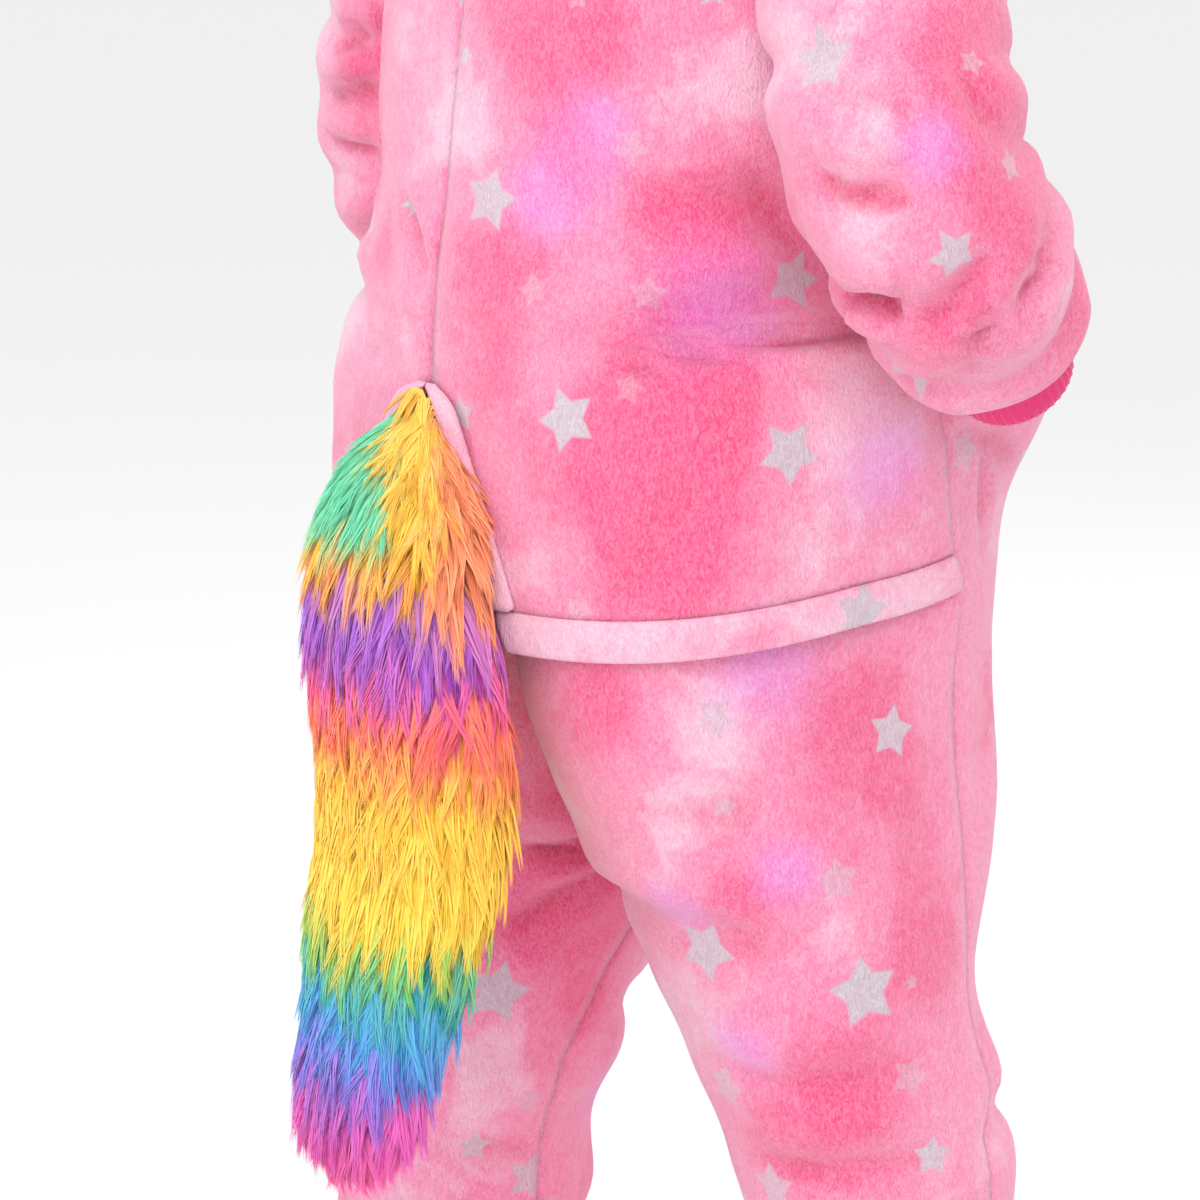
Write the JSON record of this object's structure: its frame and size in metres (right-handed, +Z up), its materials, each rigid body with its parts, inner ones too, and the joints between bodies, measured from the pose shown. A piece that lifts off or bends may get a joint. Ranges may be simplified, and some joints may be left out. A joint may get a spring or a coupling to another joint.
{
  "type": "animal onesie",
  "caption": "Hooded fleece one-piece garment with buttoned front, side pockets, a loose seat flap over the trouser seat, ribbed cuffs and a long fur tail.",
  "frame": {"origin": "middle of the neck seam, where the garment hangs on the shoulders of the person who wears it", "axes": "+Z up towards the hood, -Y out of the buttoned front, +Y out of the back with the tail, -X out of the garment's right side"},
  "size_m": [0.6927, 0.4667, 1.6403],
  "materials": {
    "fleece": "short-pile plush fleece, pink tie-dye print with silver-grey stars",
    "rib_knit": "ribbed magenta knit",
    "button": "polished",
    "tail_fur": "long-pile fur in bands of rainbow colours"
  },
  "bodies": {
    "root": {"back_right": "fleece", "hem_band_right": "fleece", "notch_band_right": "fleece", "front_right": "fleece", "pocket_bag_right": "fleece", "leg_back_right": "fleece", "sleeve_right": "fleece", "hood_right": "fleece", "wrist_cuff_right": "rib_knit", "ankle_cuff_right": "rib_knit", "back_left": "fleece", "hem_band_left": "fleece", "notch_band_left": "fleece", "front_left": "fleece", "pocket_bag_left": "fleece", "leg_back_left": "fleece", "sleeve_left": "fleece", "hood_left": "fleece", "wrist_cuff_left": "rib_knit", "ankle_cuff_left": "rib_knit", "button_strip": "fleece", "button_1": "button", "button_2": "button", "button_3": "button", "button_4": "button", "button_5": "button", "button_6": "button", "tail": "tail_fur"}
  },
  "joints": []
}
